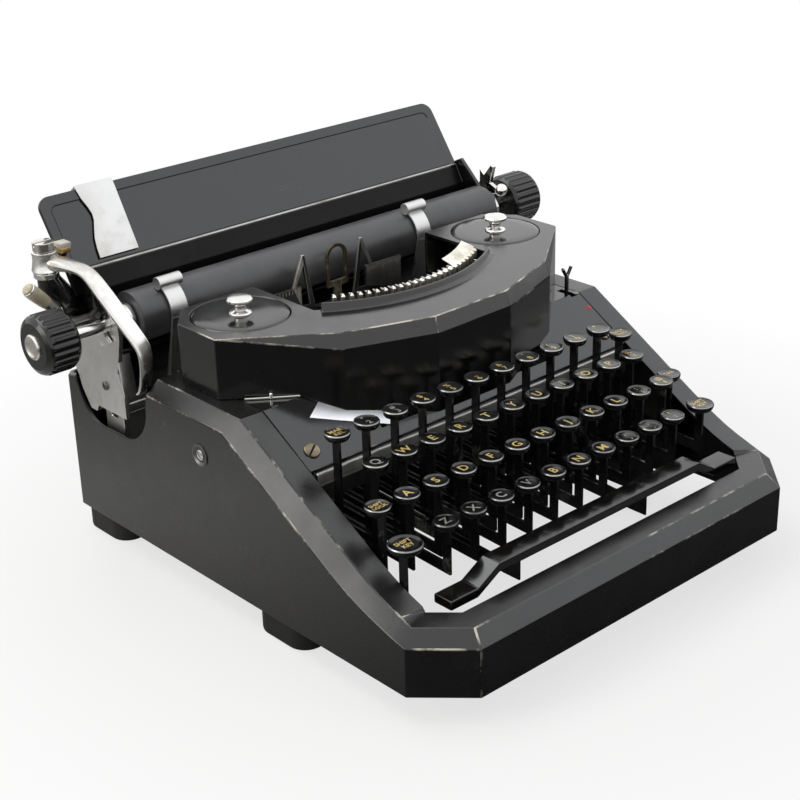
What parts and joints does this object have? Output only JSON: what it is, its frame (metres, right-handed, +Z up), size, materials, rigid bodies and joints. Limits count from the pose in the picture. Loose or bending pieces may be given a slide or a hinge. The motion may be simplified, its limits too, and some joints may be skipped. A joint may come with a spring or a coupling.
{
  "type": "portable typewriter",
  "caption": "Black portable manual typewriter with a faceted ribbon cover, round keys on levers, a sliding carriage with platen, paper table and return lever, standing on rubber feet.",
  "frame": {"origin": "on the table, under the middle of the box around the typewriter", "axes": "+X to the typist's right, +Y to the back, +Z up"},
  "size_m": [0.366, 0.306, 0.2006],
  "materials": {
    "black_enamel": "gloss black enamel",
    "rubber": "matt black rubber",
    "platen_rubber": "matt dark grey rubber",
    "steel": "plain steel",
    "bright": "bright nickel plate",
    "knob": "black moulded",
    "cream": "cream moulded",
    "key": "black steel lever with a glossy black top",
    "ribbon_guide": "olive brown"
  },
  "bodies": {
    "frame": {"body_shell": "black_enamel", "rubber_feet": "rubber", "chassis": "black_enamel", "deck_plate": "black_enamel", "ribbon_cover": "black_enamel", "type_segment": "steel", "type_bars": "steel", "line_scale": "black_enamel", "key_rod": "steel", "carriage_rail": "steel", "margin_bell": "bright"},
    "lid_left": {"spool_lid_left": "black_enamel"},
    "lid_right": {"spool_lid_right": "black_enamel"},
    "spool_left": {"ribbon_spool_left": "steel"},
    "spool_right": {"ribbon_spool_right": "steel"},
    "vibrator": {"ribbon_vibrator": "ribbon_guide"},
    "selector": {"ribbon_selector": "black_enamel"},
    "number_row": {"number_keys": "key"},
    "symbols": {"symbol_keys": "key"},
    "shift": {"shift_keys": "key"},
    "spacer": {"space_bar": "black_enamel"},
    "mainspring": {"mainspring_drum": "steel"},
    "carriage": {"carriage_frame": "steel", "paper_table": "black_enamel"},
    "roller": {"platen": "platen_rubber", "platen_shaft": "bright", "platen_knob_left": "knob", "platen_knob_right": "knob"},
    "guide": {"paper_guide": "bright"},
    "finger_left": {"paper_finger_left": "bright"},
    "finger_right": {"paper_finger_right": "bright"},
    "line_lever": {"return_lever": "bright"},
    "paper_lever": {"paper_release": "cream"},
    "carriage_lever": {"carriage_release": "steel"},
    "key_q": {"key_q": "key"},
    "key_w": {"key_w": "key"},
    "key_e": {"key_e": "key"},
    "key_r": {"key_r": "key"},
    "key_t": {"key_t": "key"},
    "key_y": {"key_y": "key"},
    "key_u": {"key_u": "key"},
    "key_i": {"key_i": "key"},
    "key_o": {"key_o": "key"},
    "key_p": {"key_p": "key"},
    "key_a": {"key_a": "key"},
    "key_s": {"key_s": "key"},
    "key_d": {"key_d": "key"},
    "key_f": {"key_f": "key"},
    "key_g": {"key_g": "key"},
    "key_h": {"key_h": "key"},
    "key_j": {"key_j": "key"},
    "key_k": {"key_k": "key"},
    "key_l": {"key_l": "key"},
    "key_z": {"key_z": "key"},
    "key_x": {"key_x": "key"},
    "key_c": {"key_c": "key"},
    "key_v": {"key_v": "key"},
    "key_b": {"key_b": "key"},
    "key_n": {"key_n": "key"},
    "key_m": {"key_m": "key"}
  },
  "joints": [
    {"name": "carriage_travel", "type": "slide", "parent": "frame", "child": "carriage", "axis": [1, 0, 0], "range_m": [-0.105, 0.06]},
    {"name": "platen_turn", "type": "hinge", "parent": "carriage", "child": "roller", "pos_m": [0, 0.104, 0.137], "axis": [1, 0, 0], "continuous": true},
    {"name": "line_lever_swing", "type": "hinge", "parent": "carriage", "child": "line_lever", "pos_m": [-0.157, 0.128, 0.166], "axis": [0, 0, 1], "range_deg": [0, 9], "stiffness_Nm_per_rad": 0.4, "springref_deg": -5.73},
    {"name": "paper_guide_slide", "type": "slide", "parent": "carriage", "child": "guide", "axis": [1, 0, 0], "range_m": [-0.012, 0.2]},
    {"name": "left_finger_slide", "type": "slide", "parent": "carriage", "child": "finger_left", "axis": [1, 0, 0], "range_m": [-0.012, 0.1]},
    {"name": "right_finger_slide", "type": "slide", "parent": "carriage", "child": "finger_right", "axis": [1, 0, 0], "range_m": [-0.06, 0.05]},
    {"name": "paper_release_pull", "type": "hinge", "parent": "carriage", "child": "paper_lever", "pos_m": [-0.158, 0.117, 0.139], "axis": [1, 0, 0], "range_deg": [0, 8]},
    {"name": "carriage_release_press", "type": "hinge", "parent": "carriage", "child": "carriage_lever", "pos_m": [0.15, 0.115, 0.143], "axis": [1, 0, 0], "range_deg": [0, 8], "stiffness_Nm_per_rad": 0.3, "springref_deg": -8.59},
    {"name": "mainspring_turn", "type": "hinge", "parent": "frame", "child": "mainspring", "pos_m": [-0.07, 0.113, 0.042], "axis": [0, 1, 0], "range_deg": [-330, 200]},
    {"name": "left_lid_lift", "type": "slide", "parent": "frame", "child": "lid_left", "axis": [0, 0, 1], "range_m": [0, 0.04]},
    {"name": "right_lid_lift", "type": "slide", "parent": "frame", "child": "lid_right", "axis": [0, 0, 1], "range_m": [0, 0.04]},
    {"name": "left_spool_turn", "type": "hinge", "parent": "frame", "child": "spool_left", "pos_m": [-0.0943, 0.0438, 0.126], "axis": [0, 0, 1], "continuous": true},
    {"name": "right_spool_turn", "type": "hinge", "parent": "frame", "child": "spool_right", "pos_m": [0.0943, 0.0438, 0.126], "axis": [0, 0, 1], "continuous": true},
    {"name": "vibrator_lift", "type": "slide", "parent": "frame", "child": "vibrator", "axis": [0, 0, 1], "range_m": [0, 0.008], "stiffness_N_per_m": 40, "springref_m": -0.006},
    {"name": "selector_throw", "type": "hinge", "parent": "frame", "child": "selector", "pos_m": [0.1125, 0.003, 0.1068], "axis": [1, 0, 0], "range_deg": [-12, 12]},
    {"name": "number_keys_press", "type": "hinge", "parent": "frame", "child": "number_row", "pos_m": [0, 0.066, 0.056], "axis": [1, 0, 0], "range_deg": [0, 4.5], "stiffness_Nm_per_rad": 4, "springref_deg": -6.88},
    {"name": "symbol_keys_press", "type": "hinge", "parent": "frame", "child": "symbols", "pos_m": [0, 0.066, 0.056], "axis": [1, 0, 0], "range_deg": [0, 3.1], "stiffness_Nm_per_rad": 3, "springref_deg": -6.88},
    {"name": "shift_press", "type": "hinge", "parent": "frame", "child": "shift", "pos_m": [0, 0.066, 0.056], "axis": [1, 0, 0], "range_deg": [0, 3.1], "stiffness_Nm_per_rad": 3, "springref_deg": -6.88},
    {"name": "space_bar_press", "type": "hinge", "parent": "frame", "child": "spacer", "pos_m": [0, 0.066, 0.056], "axis": [1, 0, 0], "range_deg": [0, 2.6], "stiffness_Nm_per_rad": 5, "springref_deg": -6.88},
    {"name": "key_q_press", "type": "hinge", "parent": "frame", "child": "key_q", "pos_m": [0, 0.066, 0.056], "axis": [1, 0, 0], "range_deg": [0, 4], "stiffness_Nm_per_rad": 0.5, "springref_deg": -5.73},
    {"name": "key_w_press", "type": "hinge", "parent": "frame", "child": "key_w", "pos_m": [0, 0.066, 0.056], "axis": [1, 0, 0], "range_deg": [0, 4], "stiffness_Nm_per_rad": 0.5, "springref_deg": -5.73},
    {"name": "key_e_press", "type": "hinge", "parent": "frame", "child": "key_e", "pos_m": [0, 0.066, 0.056], "axis": [1, 0, 0], "range_deg": [0, 4], "stiffness_Nm_per_rad": 0.5, "springref_deg": -5.73},
    {"name": "key_r_press", "type": "hinge", "parent": "frame", "child": "key_r", "pos_m": [0, 0.066, 0.056], "axis": [1, 0, 0], "range_deg": [0, 4], "stiffness_Nm_per_rad": 0.5, "springref_deg": -5.73},
    {"name": "key_t_press", "type": "hinge", "parent": "frame", "child": "key_t", "pos_m": [0, 0.066, 0.056], "axis": [1, 0, 0], "range_deg": [0, 4], "stiffness_Nm_per_rad": 0.5, "springref_deg": -5.73},
    {"name": "key_y_press", "type": "hinge", "parent": "frame", "child": "key_y", "pos_m": [0, 0.066, 0.056], "axis": [1, 0, 0], "range_deg": [0, 4], "stiffness_Nm_per_rad": 0.5, "springref_deg": -5.73},
    {"name": "key_u_press", "type": "hinge", "parent": "frame", "child": "key_u", "pos_m": [0, 0.066, 0.056], "axis": [1, 0, 0], "range_deg": [0, 4], "stiffness_Nm_per_rad": 0.5, "springref_deg": -5.73},
    {"name": "key_i_press", "type": "hinge", "parent": "frame", "child": "key_i", "pos_m": [0, 0.066, 0.056], "axis": [1, 0, 0], "range_deg": [0, 4], "stiffness_Nm_per_rad": 0.5, "springref_deg": -5.73},
    {"name": "key_o_press", "type": "hinge", "parent": "frame", "child": "key_o", "pos_m": [0, 0.066, 0.056], "axis": [1, 0, 0], "range_deg": [0, 4], "stiffness_Nm_per_rad": 0.5, "springref_deg": -5.73},
    {"name": "key_p_press", "type": "hinge", "parent": "frame", "child": "key_p", "pos_m": [0, 0.066, 0.056], "axis": [1, 0, 0], "range_deg": [0, 4], "stiffness_Nm_per_rad": 0.5, "springref_deg": -5.73},
    {"name": "key_a_press", "type": "hinge", "parent": "frame", "child": "key_a", "pos_m": [0, 0.066, 0.056], "axis": [1, 0, 0], "range_deg": [0, 3.4], "stiffness_Nm_per_rad": 0.5, "springref_deg": -5.73},
    {"name": "key_s_press", "type": "hinge", "parent": "frame", "child": "key_s", "pos_m": [0, 0.066, 0.056], "axis": [1, 0, 0], "range_deg": [0, 3.4], "stiffness_Nm_per_rad": 0.5, "springref_deg": -5.73},
    {"name": "key_d_press", "type": "hinge", "parent": "frame", "child": "key_d", "pos_m": [0, 0.066, 0.056], "axis": [1, 0, 0], "range_deg": [0, 3.4], "stiffness_Nm_per_rad": 0.5, "springref_deg": -5.73},
    {"name": "key_f_press", "type": "hinge", "parent": "frame", "child": "key_f", "pos_m": [0, 0.066, 0.056], "axis": [1, 0, 0], "range_deg": [0, 3.4], "stiffness_Nm_per_rad": 0.5, "springref_deg": -5.73},
    {"name": "key_g_press", "type": "hinge", "parent": "frame", "child": "key_g", "pos_m": [0, 0.066, 0.056], "axis": [1, 0, 0], "range_deg": [0, 3.4], "stiffness_Nm_per_rad": 0.5, "springref_deg": -5.73},
    {"name": "key_h_press", "type": "hinge", "parent": "frame", "child": "key_h", "pos_m": [0, 0.066, 0.056], "axis": [1, 0, 0], "range_deg": [0, 3.4], "stiffness_Nm_per_rad": 0.5, "springref_deg": -5.73},
    {"name": "key_j_press", "type": "hinge", "parent": "frame", "child": "key_j", "pos_m": [0, 0.066, 0.056], "axis": [1, 0, 0], "range_deg": [0, 3.4], "stiffness_Nm_per_rad": 0.5, "springref_deg": -5.73},
    {"name": "key_k_press", "type": "hinge", "parent": "frame", "child": "key_k", "pos_m": [0, 0.066, 0.056], "axis": [1, 0, 0], "range_deg": [0, 3.4], "stiffness_Nm_per_rad": 0.5, "springref_deg": -5.73},
    {"name": "key_l_press", "type": "hinge", "parent": "frame", "child": "key_l", "pos_m": [0, 0.066, 0.056], "axis": [1, 0, 0], "range_deg": [0, 3.4], "stiffness_Nm_per_rad": 0.5, "springref_deg": -5.73},
    {"name": "key_z_press", "type": "hinge", "parent": "frame", "child": "key_z", "pos_m": [0, 0.066, 0.056], "axis": [1, 0, 0], "range_deg": [0, 3.1], "stiffness_Nm_per_rad": 0.5, "springref_deg": -5.73},
    {"name": "key_x_press", "type": "hinge", "parent": "frame", "child": "key_x", "pos_m": [0, 0.066, 0.056], "axis": [1, 0, 0], "range_deg": [0, 3.1], "stiffness_Nm_per_rad": 0.5, "springref_deg": -5.73},
    {"name": "key_c_press", "type": "hinge", "parent": "frame", "child": "key_c", "pos_m": [0, 0.066, 0.056], "axis": [1, 0, 0], "range_deg": [0, 3.1], "stiffness_Nm_per_rad": 0.5, "springref_deg": -5.73},
    {"name": "key_v_press", "type": "hinge", "parent": "frame", "child": "key_v", "pos_m": [0, 0.066, 0.056], "axis": [1, 0, 0], "range_deg": [0, 3.1], "stiffness_Nm_per_rad": 0.5, "springref_deg": -5.73},
    {"name": "key_b_press", "type": "hinge", "parent": "frame", "child": "key_b", "pos_m": [0, 0.066, 0.056], "axis": [1, 0, 0], "range_deg": [0, 3.1], "stiffness_Nm_per_rad": 0.5, "springref_deg": -5.73},
    {"name": "key_n_press", "type": "hinge", "parent": "frame", "child": "key_n", "pos_m": [0, 0.066, 0.056], "axis": [1, 0, 0], "range_deg": [0, 3.1], "stiffness_Nm_per_rad": 0.5, "springref_deg": -5.73},
    {"name": "key_m_press", "type": "hinge", "parent": "frame", "child": "key_m", "pos_m": [0, 0.066, 0.056], "axis": [1, 0, 0], "range_deg": [0, 3.1], "stiffness_Nm_per_rad": 0.5, "springref_deg": -5.73}
  ],
  "couplings": [
    {"joint": "right_spool_turn", "follows": "left_spool_turn", "ratio": 1},
    {"joint": "mainspring_turn", "follows": "carriage_travel", "rad_per_m": 52.632}
  ]
}
